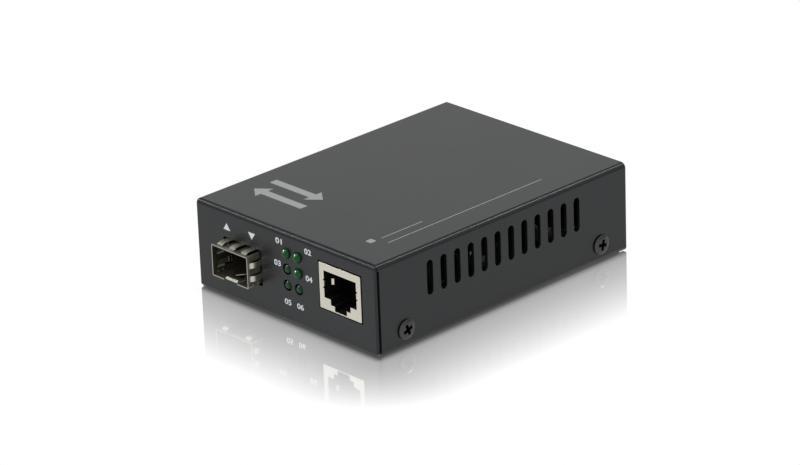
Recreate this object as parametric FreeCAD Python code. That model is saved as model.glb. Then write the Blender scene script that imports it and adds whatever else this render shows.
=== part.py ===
import FreeCAD, Part
import math
import os

V = FreeCAD.Vector

# A small fibre media converter: a folded steel cover slid over a folded steel tray that carries one
# circuit board.  Front (towards -Y): fibre module cage, six indicator lights, copper network socket.
# Rear (towards +Y): low-voltage power inlet.  Millimetres; the origin is the middle of the underside.

# ---- housing ------------------------------------------------------------------------------------
width = 71.0             # over the side faces
depth = 95.0             # front face to rear face
height = 26.0            # underside of the tray to the top face
sheet = 1.0              # steel sheet of cover and tray
bend_inner = 0.5         # inside radius of every fold
cover_lift = 0.4         # lower edges of the cover above the underside of the tray
corner_slit = 0.25       # open slit between the front flange and each side flange
front_inset = 0.5        # the front flange stops this far inside the side faces
corner_notch = 0.8       # notch in the folded corner, front face to the start of the side fold
edge_round = 0.3         # rounded upright edges of the front flange
corner_round = 0.5       # rounding of the flanges' free lower corners
tray_fit = 0.15          # play between tray and cover
overrun = 2.0            # how far a cutting shape runs past what it cuts
round_flats = 16         # flats that stand for the round of a small turned piece or hole

# ---- side vents ---------------------------------------------------------------------------------
vent_count = 12
vent_pitch = 5.08
vent_width = 2.3
vent_height = 10.05
vent_bottom = 11.75
vent_end_steps = 6       # flats round each half-round end

# ---- cover screws, two in each side -------------------------------------------------------------
screw_thread_r = 1.5
screw_length = 2.3       # short, so that it ends clear of the board
screw_head_r = 2.85
screw_head_side = 0.45   # straight side of the low pan head
screw_head_crown = 0.4   # crown above the straight side
crown_flat = 0.72        # flat top of a pan head, as a share of its radius
screw_y = 37.3           # screws at plus and minus this
screw_z = 4.95
hole_play = 0.2          # a clearance hole is larger than its screw by this, in radius
thread_play = 0.05       # play of a screw in its tapped hole
recess_span = 3.3        # cross recess, over two opposite wings
recess_floor = 1.5       # the same at its floor
recess_wing = 0.9
recess_depth = 0.75
cover_screw_turns = (21.0, -11.0, 38.0, 5.0)   # where each cross came to rest, degrees

# ---- tray ---------------------------------------------------------------------------------------
lip_height = 3.0         # stiffening lip along each side
tab_height = 8.8         # the four tabs that take the cover screws
tab_length = 12.0
corner_relief = 0.5      # notch between a lip and the rear panel

# ---- circuit board and its standoffs ------------------------------------------------------------
standoff_height = 5.4    # tray floor to board
standoff_r = 2.4
standoff_hex = 6.0       # across flats of the pressed-in foot
standoff_foot = 0.6      # thickness of the foot, let into the tray floor
board_thickness = 1.6
board_side_gap = 0.25    # tabs of the tray to the board
board_front_gap = 1.2    # front panel to board
board_rear_gap = 1.0     # rear panel to board
board_corner_r = 1.0
post_inset = 3.9         # edge of the board to the standoffs
post_rows = ((-30.0, 32.0), (-18.0, 32.0))   # front and rear standoff, left and right
board_screw_length = 4.0
board_head_r = 2.75
board_head_side = 1.2
board_head_crown = 0.6
board_screw_turns = (12.0, 55.0, 30.0, 71.0)

# ---- fibre module cage --------------------------------------------------------------------------
cage_from_side = 18.65    # left-hand side of the housing to the middle of the cage
cage_width = 14.3
cage_height = 9.1
cage_length = 48.5
cage_wall = 0.25
cage_proud = 4.8         # the rim stands this far in front of the front face
cage_corner_r = 0.4
cage_pin_count = 4       # press-in pins a side
cage_pin_first = 10.0    # rim to the first pin
cage_pin_pitch = 10.5
cage_pin_width = 0.6
cage_pin_length = 2.9
lead_hole = 0.9          # square hole for a lead or a press-in pin
cage_gap_side = 0.45     # cage to the edge of its cut-out in the front panel
cage_gap_upright = 0.7   # the same above and below
cutout_corner_r = 0.4
weld_r = 0.3             # weld spots that hold the collar, low on each side
weld_proud = 0.15
weld_places = (2.05, 3.75)
weld_height = 0.55

# ---- spring collar round the mouth of the cage --------------------------------------------------
collar_sheet = 0.1
collar_band = 0.7        # rim to the roots of the fingers
finger_reach = 6.3       # rim to the tips of the fingers
finger_width_top = 2.1
finger_width_side = 1.4
finger_pitch_top = 4.75
finger_pitch_side = 3.85
finger_play = 0.08       # crest of a finger to the edge of the cut-out
arch_steps = 6           # flats along the arch of a finger
window_margin = 0.35     # window in the cage wall beside a finger
window_front = 1.6
window_rear = 6.8

# ---- latch tongue in the floor of the cage ------------------------------------------------------
tongue_width = 4.7
tongue_slit = 0.33
tongue_root = 9.5        # rim to the root of the tongue
tongue_crest = 0.85      # rim to the fold of its lip
tongue_tip = 0.4         # rim to the edge of the lip
tongue_rise = 0.48       # lift of the fold above the cage floor
latch_base = 3.4         # triangular latch window
latch_front = 3.0
latch_apex = 6.0

# ---- edge connector inside the cage -------------------------------------------------------------
host_width = 11.6
host_height = 6.4
host_depth = 9.6
host_rear_gap = 2.0      # rear wall of the cage to the connector
host_slot_width = 9.2
host_slot_height = 1.3
host_slot_depth = 5.5
host_slot_z = 2.6        # board to the bottom of the slot
host_contact_count = 10
host_contact_pitch = 0.8
host_contact_width = 0.35

# ---- copper network socket ----------------------------------------------------------------------
socket_from_side = 13.85  # right-hand side of the housing to the middle of the socket
socket_width = 15.9
socket_top = 13.5        # above the board
socket_foot = 0.3        # lower edge of the shield above the board
socket_depth = 21.3
socket_proud = 0.15
socket_sheet = 0.25
socket_bend = 0.35       # outside radius of the shield's folds
socket_gap = 0.4         # shield to the edge of its cut-out
mouth_top = 11.4         # all mouth heights are above the board
mouth_shoulder = 3.6
mouth_step = 2.0
mouth_floor = 0.6
mouth_width = 12.4
mouth_step_width = 7.6
mouth_slot_width = 4.6
mouth_depth = 14.0
insert_play = 0.05
ground_leaf_low = 6.65   # sprung leaf folded in from each side of the mouth
ground_leaf_high = 8.45
ground_leaf_reach = 2.4  # face of the shield to the fold of the leaf's tip
ground_leaf_lean = 0.5
ground_leaf_tip = 0.65   # the tip turns in by this across the mouth
ground_leaf_tip_rise = 0.3
ground_leaf_relief = 0.4
contact_count = 8
contact_pitch = 1.02
contact_thickness = 0.35
contact_start = 2.0      # front face of the socket to the contacts
contact_bend = 4.0       # the same to where they leave the roof of the mouth
contact_end = 11.0
contact_drop = 2.8
peg_r = 1.6
peg_play = 0.1
peg_spread = 11.4
peg_setback = 9.0        # front face of the socket to its pegs
shield_pin_width = 1.2
shield_pin_length = 3.2
shield_pin_setback = 6.0

# ---- indicator lights ---------------------------------------------------------------------------
light_from_socket = 16.35      # middle of the socket to the right-hand column
light_pitch = 4.4              # column to column
light_row_top = 20.05
light_row_pitch = 4.67
light_row_count = 3
light_r = 1.48
light_hole_play = 0.14
light_flange_r = 1.9
light_flange_thickness = 0.9
light_length = 5.2       # tip of the dome to the back of the flange
dome_steps = 4           # cones that make up a dome
light_proud_far = 1.35         # tips of the standing lights beyond the front face
light_proud_near = 0.4         # the same for those set back
lights_standing = ("upper_left", "upper_right", "middle_right")
lead_thickness = 0.45
lead_spread = 2.54
lead_run_step = 2.8      # each row's leads bend down this far behind those of the row below
lead_bend = 0.8
lead_below = 1.3         # length below the board

# ---- power inlet --------------------------------------------------------------------------------
inlet_from_side = 18.5   # right-hand side of the housing to the middle of the inlet
inlet_axis = 6.3         # above the board
inlet_width = 9.0
inlet_top = 10.8
inlet_collar = 3.4       # thickness of the front block
inlet_depth = 13.6
inlet_barrel_r = 4.0
inlet_bore_r = 3.2
inlet_bore_depth = 9.6
inlet_pin_r = 1.0
inlet_pin_length = 8.6
inlet_panel_play = 0.15
inlet_hole_r = 4.1
inlet_tab_width = 2.4
inlet_tab_thickness = 0.4
inlet_tab_length = 3.0
tab_slot_play = 0.3      # play round a flat tab in its slot in the board
inlet_leaf_length = 6.0
inlet_leaf_width = 2.0

# ---- parts on the board -------------------------------------------------------------------------
part_chamfer = 0.3       # chamfer along the edges of moulded parts
chip_aside = 16.15       # middle of the socket to the middle of the chip
chip_y = -9.0
chip_size = 10.0
chip_height = 0.9
magnetics_aside = 4.35    # middle of the socket to the middle of the magnetics, away from the edge
magnetics_setback = 7.85  # rear of the socket to the middle of the magnetics
magnetics_size = (15.2, 7.2, 5.6)
magnetics_pins = 8
magnetics_pitch = 1.6
memory_place = (-4.0, 12.0)
memory_size = (4.9, 3.9, 1.5)
memory_pins = 4
memory_pitch = 1.27
gull_thickness = 0.25
gull_width = 0.45
gull_out = 1.1           # reach of a lead beyond its body
gull_foot = 0.6
crystal_y = -22.5        # it stands midway between the cage and the magnetics
crystal_size = (10.6, 4.4, 3.2)
crystal_flange = 0.4
can_inset = 4.6          # edge of the board to the cans
can_rows = (-2.0, 23.2)
can_r = 3.15
can_height = 5.6
can_base = 1.3
can_base_size = 6.6
can_edge = 0.35
inductor_place = (8.0, 24.0)
inductor_size = 7.3
inductor_height = 3.4
inductor_groove_r = 2.7
inductor_core_r = 2.3
regulator_place = (18.5, 10.0)
regulator_size = (6.5, 3.5, 1.6)
regulator_pins = 3
regulator_pitch = 2.3
small_part = (1.6, 0.8, 0.8)
small_part_pitch = 2.4
small_part_count = 5     # in each row
parts_row_inset = 20.6    # right-hand edge of the board to the first part of the row beside the chip

# ---- places that follow from the sizes above ----------------------------------------------------
half = width / 2
front = -depth / 2
back = depth / 2
bend_outer = bend_inner + sheet
side_start = front + sheet + corner_slit
tray_half = half - sheet - tray_fit
board_half = tray_half - sheet - board_side_gap
cage_x = -half + cage_from_side
socket_x = half - socket_from_side
inlet_x = half - inlet_from_side
light_columns = (socket_x - light_from_socket - light_pitch, socket_x - light_from_socket)
light_rows = [light_row_top - row * light_row_pitch for row in range(light_row_count)]
board_posts = [(side * (board_half - post_inset), y) for side, rows in zip((-1, 1), post_rows)
               for y in rows]
can_places = [(board_half - can_inset, y) for y in can_rows]
small_part_rows = [(-2.5, -1.0), (board_half - parts_row_inset, 0.0), (-9.0, 20.0)]
tray_front = front + sheet + tray_fit
rear_panel_top = height - sheet - tray_fit
board_bottom = sheet + standoff_height
board_top = board_bottom + board_thickness
board_front = front + sheet + board_front_gap
board_back = back - sheet - board_rear_gap
rim = front - cage_proud
cage_bottom = board_top
cage_top = cage_bottom + cage_height
cage_back = rim + collar_sheet + cage_length
socket_front = front - socket_proud
magnetics_place = (socket_x - magnetics_aside, socket_front + socket_depth + magnetics_setback)
chip_place = (socket_x - chip_aside, chip_y)
crystal_place = ((cage_x + cage_width / 2 + magnetics_place[0] - magnetics_size[0] / 2) / 2, crystal_y)
inlet_front = back - sheet - inlet_panel_play


def box(x0, x1, y0, y1, z0, z1):
    """Block between two corners."""
    return Part.makeBox(x1 - x0, y1 - y0, z1 - z0, V(x0, y0, z0))


def rod(radius, start, end):
    """Cylinder from one point to another."""
    axis = V(*end) - V(*start)
    return Part.makeCylinder(radius, axis.Length, V(*start), axis)


def turned(profile, start, axis):
    """Turned form with small flats round it.

    The profile is a run of (distance along the axis, radius) points; both its ends have radius 0.
    """
    forward = V(*axis)
    across = V(forward.y, forward.z, forward.x)
    upward = forward.cross(across)
    turns = [2 * math.pi * k / round_flats for k in range(round_flats)]
    rings = []
    for distance, radius in profile:
        middle = V(*start) + forward * distance
        rings.append([middle + (across * math.cos(a) + upward * math.sin(a)) * radius for a in turns])
    faces = []
    for lower, upper in zip(rings, rings[1:]):
        for k in range(round_flats):
            ring = [lower[k], lower[k - 1], upper[k - 1], upper[k]]
            corners = [c for i, c in enumerate(ring) if not c.isEqual(ring[i - 1], 1e-6)]
            faces.append(Part.Face(Part.makePolygon(corners + corners[:1])))
    return Part.makeSolid(Part.makeShell(faces)).removeSplitter()


def pin(radius, start, axis, length):
    """Small round bar, or the cutter of a small round hole, along one of the main axes."""
    return turned([(0, 0), (0, radius), (length, radius), (length, 0)], start, axis)


def prism(points, along):
    """Straight-sided solid: a closed outline of 3-D points moved along a vector."""
    corners = [V(*point) for point in points]
    face = Part.Face(Part.makePolygon(corners + corners[:1]))
    return face.extrude(V(*along))


def edges_where(shape, test):
    """Edges whose two end points both pass the test."""
    return [edge for edge in shape.Edges
            if len(edge.Vertexes) == 2 and all(test(vertex.Point) for vertex in edge.Vertexes)]


def close(a, b):
    return abs(a - b) < 1e-4


def mirrored_x(shape):
    return shape.mirror(V(0, 0, 0), V(1, 0, 0))


def bent_strip(path, thickness, x0, x1):
    """Strip of sheet that follows a path of (y, z) points, lying on the left of the path."""
    legs = [math.atan2(b[1] - a[1], b[0] - a[0]) for a, b in zip(path, path[1:])]
    starts = [legs[0]] + legs
    ends = legs + [legs[-1]]
    offset = []
    for (y, z), before, after in zip(path, starts, ends):
        middle = (before + after) / 2
        reach = thickness / math.cos((after - before) / 2)
        offset.append((y - reach * math.sin(middle), z + reach * math.cos(middle)))
    outline = [(x0, y, z) for y, z in path + offset[::-1]]
    return prism(outline, (x1 - x0, 0, 0))


def pan_screw(head_r, side, crown, thread_r, length, turn):
    """Cross-recessed pan head screw along +X: underside of the head at x = 0, thread behind it."""
    top = side + crown
    screw = turned([(-length, 0), (-length, thread_r), (0, thread_r), (0, head_r), (side, head_r),
                    (top, head_r * crown_flat), (top, 0)], (0, 0, 0), (1, 0, 0))
    wing = prism([(top + overrun, -recess_span / 2, -recess_wing / 2),
                  (top, -recess_span / 2, -recess_wing / 2),
                  (top - recess_depth, -recess_floor / 2, -recess_wing / 2),
                  (top - recess_depth, recess_floor / 2, -recess_wing / 2),
                  (top, recess_span / 2, -recess_wing / 2),
                  (top + overrun, recess_span / 2, -recess_wing / 2)], (0, 0, recess_wing))
    for angle in (turn, turn + 90):
        cut = wing.copy()
        cut.rotate(V(0, 0, 0), V(1, 0, 0), angle)
        screw = screw.cut(cut)
    return screw


def gull_leads(body_half, pitch, count, place, sign):
    """Row of gull-wing leads on the side of a body that faces +Y (sign 1) or -Y (sign -1)."""
    x_middle, y_middle = place
    seat = board_top
    leads = []
    for index in range(count):
        x = x_middle + (index - (count - 1) / 2) * pitch
        path = [(gull_out, 0.0), (gull_out - gull_foot, 0.0), (gull_out - gull_foot, gull_foot),
                (0.0, gull_foot)]
        lead = bent_strip(path, -gull_thickness, -gull_width / 2, gull_width / 2)
        if sign < 0:
            lead.rotate(V(0, 0, 0), V(0, 0, 1), 180)
        lead.translate(V(x, y_middle + sign * body_half, seat))
        leads.append(lead)
    return leads


# ---- housing ------------------------------------------------------------------------------------

def socket_mouth(y0, y1, grow=0.0):
    """Stepped mouth of the network socket: plug space, latch step and latch slot, widest at the top."""
    z = [board_top + level for level in (mouth_top + grow, mouth_shoulder, mouth_step, mouth_floor)]
    halves = [w / 2 + grow for w in (mouth_width, mouth_step_width, mouth_slot_width)]
    side = [(halves[0], z[0]), (halves[0], z[1]), (halves[1], z[1]), (halves[1], z[2]),
            (halves[2], z[2]), (halves[2], z[3])]
    outline = side + [(-x, level) for x, level in side[::-1]]
    return prism([(socket_x + x, y0, level) for x, level in outline], (0, y1 - y0, 0))


def vent_cutter(y):
    """Upright slot with round ends, cut through both side flanges at once."""
    r = vent_width / 2
    angles = [math.pi * step / vent_end_steps for step in range(vent_end_steps + 1)]
    high = [(y + r * math.cos(a), vent_bottom + vent_height - r + r * math.sin(a)) for a in angles]
    low = [(y - r * math.cos(a), vent_bottom + r - r * math.sin(a)) for a in angles]
    return prism([(-half - overrun, across, up) for across, up in high + low],
                 (width + 2 * overrun, 0, 0))


def cage_cutout():
    """Opening in the front panel round the fibre module cage."""
    cut = box(cage_x - cage_width / 2 - cage_gap_side, cage_x + cage_width / 2 + cage_gap_side,
              front - overrun, front + sheet + overrun,
              cage_bottom - cage_gap_upright, cage_top + cage_gap_upright)
    along_y = [edge for edge in cut.Edges if close(edge.Vertexes[0].X, edge.Vertexes[1].X)
               and close(edge.Vertexes[0].Z, edge.Vertexes[1].Z)]
    return cut.makeFillet(cutout_corner_r, along_y)


def front_panel_cutters():
    """Cage opening, socket opening and the six holes for the lights."""
    cutters = [cage_cutout()]
    side = socket_width / 2 + socket_gap
    cutters.append(box(socket_x - side, socket_x + side, front - overrun, front + sheet + overrun,
                       board_top + socket_foot - socket_gap, board_top + socket_top + socket_gap))
    for z in light_rows:
        for x in light_columns:
            cutters.append(pin(light_r + light_hole_play, (x, front - overrun, z), (0, 1, 0),
                               sheet + 2 * overrun))
    return cutters


def folded_shell():
    """Top, front and both sides in one sheet, with round folds along the top edges."""
    outer = box(-half, half, front, back, cover_lift, height)
    outer = outer.makeFillet(bend_outer, edges_where(
        outer, lambda p: close(p.z, height)
        and not close(p.y, back)) + side_top_edges(outer, half, height))
    inner = box(-half + sheet, half - sheet, front + sheet, back + overrun, -overrun, height - sheet)
    inner = inner.makeFillet(bend_inner, edges_where(
        inner, lambda p: close(p.z, height - sheet)
        and not close(p.y, back + overrun)) + side_top_edges(inner, half - sheet, height - sheet))
    return outer.cut(inner)


def side_top_edges(shape, x, z):
    """The two top edges that run front to back."""
    return [edge for edge in shape.Edges
            if all(close(abs(v.X), x) and close(v.Z, z) for v in edge.Vertexes)
            and close(edge.Vertexes[0].X, edge.Vertexes[1].X)]


def top_cover():
    shell = folded_shell()
    cutters = front_panel_cutters()
    fold_start = height - bend_outer
    slit = box(half - sheet - overrun, half + overrun, front + sheet, side_start, 0, fold_start)
    end = box(half - front_inset, half + overrun, front - overrun, side_start, 0, fold_start)
    notch = box(half - front_inset, half + overrun, front - overrun, front + corner_notch,
                fold_start, height + overrun)
    for cutter in (slit, end, notch):
        cutters += [cutter, mirrored_x(cutter)]
    first = -(vent_count - 1) * vent_pitch / 2
    cutters += [vent_cutter(first + index * vent_pitch) for index in range(vent_count)]
    for y in (-screw_y, screw_y):
        cutters.append(pin(screw_thread_r + hole_play, (-half - overrun, y, screw_z), (1, 0, 0),
                           width + 2 * overrun))
    shell = shell.cut(cutters)
    corners = [edge for edge in edges_where(shell, lambda p: close(p.z, cover_lift))
               if close(edge.Length, sheet)]
    shell = shell.makeFillet(corner_round, corners)
    arrises = [edge for edge in shell.Edges if len(edge.Vertexes) == 2 and edge.Length > height / 2
               and all(close(v.Y, front) and close(abs(v.X), half - front_inset) for v in edge.Vertexes)]
    return shell.makeFillet(edge_round, arrises)


def hex_foot(x, y):
    """Six-sided foot of a standoff, flush with the underside of the tray."""
    radius = standoff_hex / 2 / math.cos(math.pi / 6)
    corners = [(x + radius * math.cos(k * math.pi / 3), y + radius * math.sin(k * math.pi / 3), 0)
               for k in range(6)]
    return prism(corners, (0, 0, standoff_foot))


def bottom_tray():
    """Floor, rear panel and side lips folded from one sheet; four tabs take the cover screws."""
    outer = box(-tray_half, tray_half, tray_front, back, 0, rear_panel_top)
    inner = box(-tray_half + sheet, tray_half - sheet, tray_front - overrun, back - sheet, sheet,
                rear_panel_top + overrun)
    outer = outer.makeFillet(bend_outer, tray_fold_edges(outer, tray_half, back, 0))
    inner = inner.makeFillet(bend_inner, tray_fold_edges(inner, tray_half - sheet, back - sheet, sheet))
    tray = outer.cut(inner)
    lip_back = back - bend_outer - corner_relief
    cutters = []
    spans = [(tray_front - overrun, -screw_y - tab_length / 2, lip_height),
             (-screw_y - tab_length / 2, -screw_y + tab_length / 2, tab_height),
             (-screw_y + tab_length / 2, screw_y - tab_length / 2, lip_height),
             (screw_y - tab_length / 2, screw_y + tab_length / 2, tab_height),
             (screw_y + tab_length / 2, lip_back, lip_height)]
    for y0, y1, top in spans:
        cutters.append(box(tray_half - bend_outer, half, y0, y1, top, height))
    cutters.append(box(tray_half - bend_outer, half, lip_back, back - sheet, -overrun, height))
    cutters.append(box(tray_half - bend_outer, half, lip_back, back + overrun, -overrun, bend_outer))
    cutters += [mirrored_x(cutter) for cutter in cutters]
    for y in (-screw_y, screw_y):
        cutters.append(pin(screw_thread_r + thread_play, (-half, y, screw_z), (1, 0, 0), width))
    for x, y in board_posts:
        cutters.append(hex_foot(x, y))
        cutters.append(pin(standoff_r, (x, y, 0), (0, 0, 1), sheet + overrun))
    axis_z = board_top + inlet_axis
    cutters.append(rod(inlet_hole_r, (inlet_x, inlet_front, axis_z), (inlet_x, back + overrun, axis_z)))
    return tray.cut(cutters)


def tray_fold_edges(shape, x, y, z):
    """Lower edges of a block along both sides and the rear."""
    low = edges_where(shape, lambda p: close(p.z, z))
    return [edge for edge in low
            if all(close(v.X, x) for v in edge.Vertexes) or all(close(v.X, -x) for v in edge.Vertexes)
            or all(close(v.Y, y) for v in edge.Vertexes)]


def cover_screws():
    screws = []
    places = [(side, y) for side in (1, -1) for y in (-screw_y, screw_y)]
    for (side, y), turn in zip(places, cover_screw_turns):
        screw = pan_screw(screw_head_r, screw_head_side, screw_head_crown, screw_thread_r,
                          screw_length, turn)
        if side < 0:
            screw.rotate(V(0, 0, 0), V(0, 0, 1), 180)
        screw.translate(V(side * half, y, screw_z))
        screws.append(screw)
    return screws


# ---- circuit board ------------------------------------------------------------------------------

def board_standoffs():
    posts = []
    for x, y in board_posts:
        column = pin(standoff_r, (x, y, standoff_foot), (0, 0, 1), board_bottom - standoff_foot)
        bore = pin(screw_thread_r + thread_play, (x, y, -overrun), (0, 0, 1), height)
        posts.append(hex_foot(x, y).fuse(column).cut(bore))
    return posts


def board_screws():
    screws = []
    for (x, y), turn in zip(board_posts, board_screw_turns):
        screw = pan_screw(board_head_r, board_head_side, board_head_crown, screw_thread_r,
                          board_screw_length, turn)
        screw.rotate(V(0, 0, 0), V(0, 1, 0), -90)
        screw.translate(V(x, y, board_top))
        screws.append(screw)
    return screws


def cage_pin_places():
    """Front-to-back middles of the cage's press-in pins."""
    return [rim + cage_pin_first + index * cage_pin_pitch for index in range(cage_pin_count)]


def light_places():
    """Name, column, height, tip and lead run of each light, row by row."""
    places = []
    for row, (word, z) in enumerate(zip(("upper", "middle", "lower"), light_rows)):
        for side, x in zip(("left", "right"), light_columns):
            name = word + "_" + side
            proud = light_proud_far if name in lights_standing else light_proud_near
            places.append((name, x, z, front - proud, lead_run_step * (light_row_count - row)))
    return places


def lead_line(tip, run):
    """Front face of the upright part of a light's leads."""
    return tip + light_length + run


def inlet_tab_places():
    """Front-to-back middles of the inlet's two solder tabs, centre pin first."""
    rear = inlet_front - inlet_depth
    return [rear - inlet_tab_thickness / 2, rear + inlet_depth / 2]


def round_holes():
    """Radius and place of every round hole in the board."""
    holes = [(screw_thread_r + hole_play, x, y) for x, y in board_posts]
    holes += [(peg_r + peg_play, socket_x + side * peg_spread / 2, socket_front + peg_setback)
              for side in (-1, 1)]
    return holes


def slots_in_board():
    """Place, width and length of every square-cornered hole in the board."""
    wall = (cage_width - cage_wall) / 2
    slots = [(cage_x + side * wall, y, lead_hole, lead_hole) for side in (-1, 1) for y in cage_pin_places()]
    for _, x, z, tip, run in light_places():
        y = lead_line(tip, run) + lead_thickness / 2
        slots += [(x + side * lead_spread / 2, y, lead_hole, lead_hole) for side in (-1, 1)]
    play = 2 * tab_slot_play
    slots += [(inlet_x, y, inlet_tab_width + play, inlet_tab_thickness + play) for y in inlet_tab_places()]
    slots += [(socket_x + side * (socket_width - socket_sheet) / 2, socket_front + shield_pin_setback,
               socket_sheet + play, shield_pin_width + play) for side in (-1, 1)]
    return slots


def circuit_board():
    board = box(-board_half, board_half, board_front, board_back, board_bottom, board_top)
    upright = [edge for edge in board.Edges if close(edge.Vertexes[0].X, edge.Vertexes[1].X)
               and close(edge.Vertexes[0].Y, edge.Vertexes[1].Y)]
    board = board.makeFillet(board_corner_r, upright)
    low, high = board_bottom - overrun, board_top + overrun
    cutters = [pin(radius, (x, y, low), (0, 0, 1), high - low) for radius, x, y in round_holes()]
    cutters += [box(x - w / 2, x + w / 2, y - long / 2, y + long / 2, low, high)
                for x, y, w, long in slots_in_board()]
    return board.cut(cutters)


# ---- fibre module cage --------------------------------------------------------------------------

def cage_block(inset, y0, y1):
    """Block concentric with the cage and smaller by inset all round; rounded unless it is the hollow."""
    side = cage_width / 2 - inset
    block = box(cage_x - side, cage_x + side, y0, y1, cage_bottom + inset, cage_top - inset)
    if inset > 0:
        return block
    long_edges = [edge for edge in block.Edges if close(edge.Vertexes[0].X, edge.Vertexes[1].X)
                  and close(edge.Vertexes[0].Z, edge.Vertexes[1].Z)]
    return block.makeFillet(cage_corner_r - inset, long_edges)


def side_finger_heights():
    middle = cage_bottom + cage_height / 2
    return [middle - finger_pitch_side / 2, middle + finger_pitch_side / 2]


def top_finger_places():
    return [cage_x + k * finger_pitch_top for k in (-1, 0, 1)]


def finger_windows():
    """Openings in the cage wall under the fingers of the top and the sides."""
    y0, y1 = rim + window_front, rim + window_rear
    w = finger_width_top / 2 + window_margin
    windows = [box(x - w, x + w, y0, y1, cage_top - 2 * cage_wall, cage_top + overrun)
               for x in top_finger_places()]
    w = finger_width_side / 2 + window_margin
    side = cage_width / 2
    windows += [box(cage_x - side - overrun, cage_x + side + overrun, y0, y1, z - w, z + w)
                for z in side_finger_heights()]
    return windows


def latch_tongue():
    """Sprung tongue of the cage floor: it rises to a lip at the mouth, behind it a latch window."""
    path = [(rim + tongue_root, cage_bottom), (rim + tongue_crest, cage_bottom + tongue_rise),
            (rim + tongue_tip, cage_bottom + collar_sheet)]
    strip = bent_strip(path, -cage_wall, cage_x - tongue_width / 2, cage_x + tongue_width / 2)
    window = prism([(cage_x - latch_base / 2, rim + latch_front, cage_bottom - overrun),
                    (cage_x + latch_base / 2, rim + latch_front, cage_bottom - overrun),
                    (cage_x, rim + latch_apex, cage_bottom - overrun)], (0, 0, 2 * overrun))
    return strip.cut(window)


def weld_spots():
    spots = []
    for side in (-1, 1):
        wall = cage_x + side * (cage_width - cage_wall) / 2
        reach = cage_wall / 2 + weld_proud
        for place in weld_places:
            y, z = rim + place, cage_bottom + weld_height
            spots.append(pin(weld_r, (wall - reach, y, z), (1, 0, 0), 2 * reach))
    return spots


def sfp_cage():
    """Folded cage: tube with a closed rear, fingers' windows, latch tongue and press-in pins."""
    y0 = rim + collar_sheet
    cage = cage_block(0, y0, cage_back).cut(
        cage_block(cage_wall, y0 - overrun, cage_back - cage_wall))
    gap = tongue_width / 2 + tongue_slit
    floor_z = cage_bottom + cage_wall
    bay_front = cage_back - cage_wall - host_rear_gap - host_depth
    bay = host_width / 2
    cutters = finger_windows()
    cutters.append(box(cage_x - gap, cage_x + gap, y0 - overrun, rim + tongue_root,
                       cage_bottom - overrun, floor_z))
    cutters.append(box(cage_x - bay, cage_x + bay, bay_front, cage_back - cage_wall,
                       cage_bottom - overrun, floor_z))
    cage = cage.cut(cutters)
    pieces = [latch_tongue()] + weld_spots()
    w = cage_pin_width / 2
    for side in (-1, 1):
        wall = cage_x + side * (cage_width - cage_wall) / 2
        for y in cage_pin_places():
            pieces.append(box(wall - cage_wall / 2, wall + cage_wall / 2, y - w, y + w,
                              board_top - cage_pin_length, board_top + 2 * cage_corner_r))
    return cage.fuse(pieces)


def finger(crest, breadth):
    """One finger in its own frame: root at y = 0, seat at z = 0, arched to its crest, width along X."""
    length = finger_reach - collar_band
    rise = crest - collar_sheet
    shares = [step / arch_steps for step in range(arch_steps + 1)]
    arch = [(length * share, rise * math.sin(math.pi * share)) for share in shares]
    return bent_strip(arch, collar_sheet, -breadth / 2, breadth / 2)


def placed_finger(crest, breadth, roll, x, z):
    """Finger turned about the cage's long axis and set on the cage wall at x, z."""
    piece = finger(crest, breadth)
    piece.rotate(V(0, 0, 0), V(0, 1, 0), roll)
    piece.translate(V(x, rim + collar_band, z))
    return piece


def sfp_spring_collar():
    """Thin band folded round the mouth of the cage, with arched fingers that touch the front panel."""
    y0, y1 = rim, rim + collar_band
    lip = cage_block(-collar_sheet, y0, y0 + collar_sheet).cut(
        cage_block(cage_wall, y0 - overrun, y1 + overrun))
    band = cage_block(-collar_sheet, y0, y1).cut(cage_block(0, y0 - overrun, y1 + overrun)).fuse(lip)
    gap = tongue_width / 2 + tongue_slit
    band = band.cut(box(cage_x - gap, cage_x + gap, y0 - overrun, y1 + overrun,
                        cage_bottom - overrun, cage_bottom + 2 * cage_wall))
    upright = cage_gap_upright - finger_play
    sideways = cage_gap_side - finger_play
    side = cage_width / 2
    wide, narrow = finger_width_top, finger_width_side
    fingers = [placed_finger(upright, wide, 0, x, cage_top) for x in top_finger_places()]
    fingers += [placed_finger(upright, wide, 180, x, cage_bottom) for x in top_finger_places()[::2]]
    for z in side_finger_heights():
        fingers.append(placed_finger(sideways, narrow, 90, cage_x + side, z))
        fingers.append(placed_finger(sideways, narrow, -90, cage_x - side, z))
    return band.fuse(fingers).removeSplitter()


def host_y():
    """Front and rear of the edge connector."""
    rear = cage_back - cage_wall - host_rear_gap
    return rear - host_depth, rear


def sfp_edge_connector():
    y0, y1 = host_y()
    body = box(cage_x - host_width / 2, cage_x + host_width / 2, y0, y1, board_top,
               board_top + host_height)
    z0 = board_top + host_slot_z
    slot = box(cage_x - host_slot_width / 2, cage_x + host_slot_width / 2, y0 - overrun,
               y0 + host_slot_depth, z0, z0 + host_slot_height)
    mouth_edges = [edge for edge in edges_where(body, lambda p: close(p.y, y0)) if edge.Length > 0]
    return body.makeChamfer(part_chamfer, mouth_edges).cut(slot)


def sfp_edge_contacts():
    """Solder feet of the edge connector, a row behind it."""
    y1 = host_y()[1]
    contacts = []
    for index in range(host_contact_count):
        x = cage_x + (index - (host_contact_count - 1) / 2) * host_contact_pitch
        contacts.append(box(x - host_contact_width / 2, x + host_contact_width / 2, y1,
                            y1 + host_rear_gap / 2, board_top, board_top + gull_thickness))
    return contacts


# ---- copper network socket ----------------------------------------------------------------------

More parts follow.
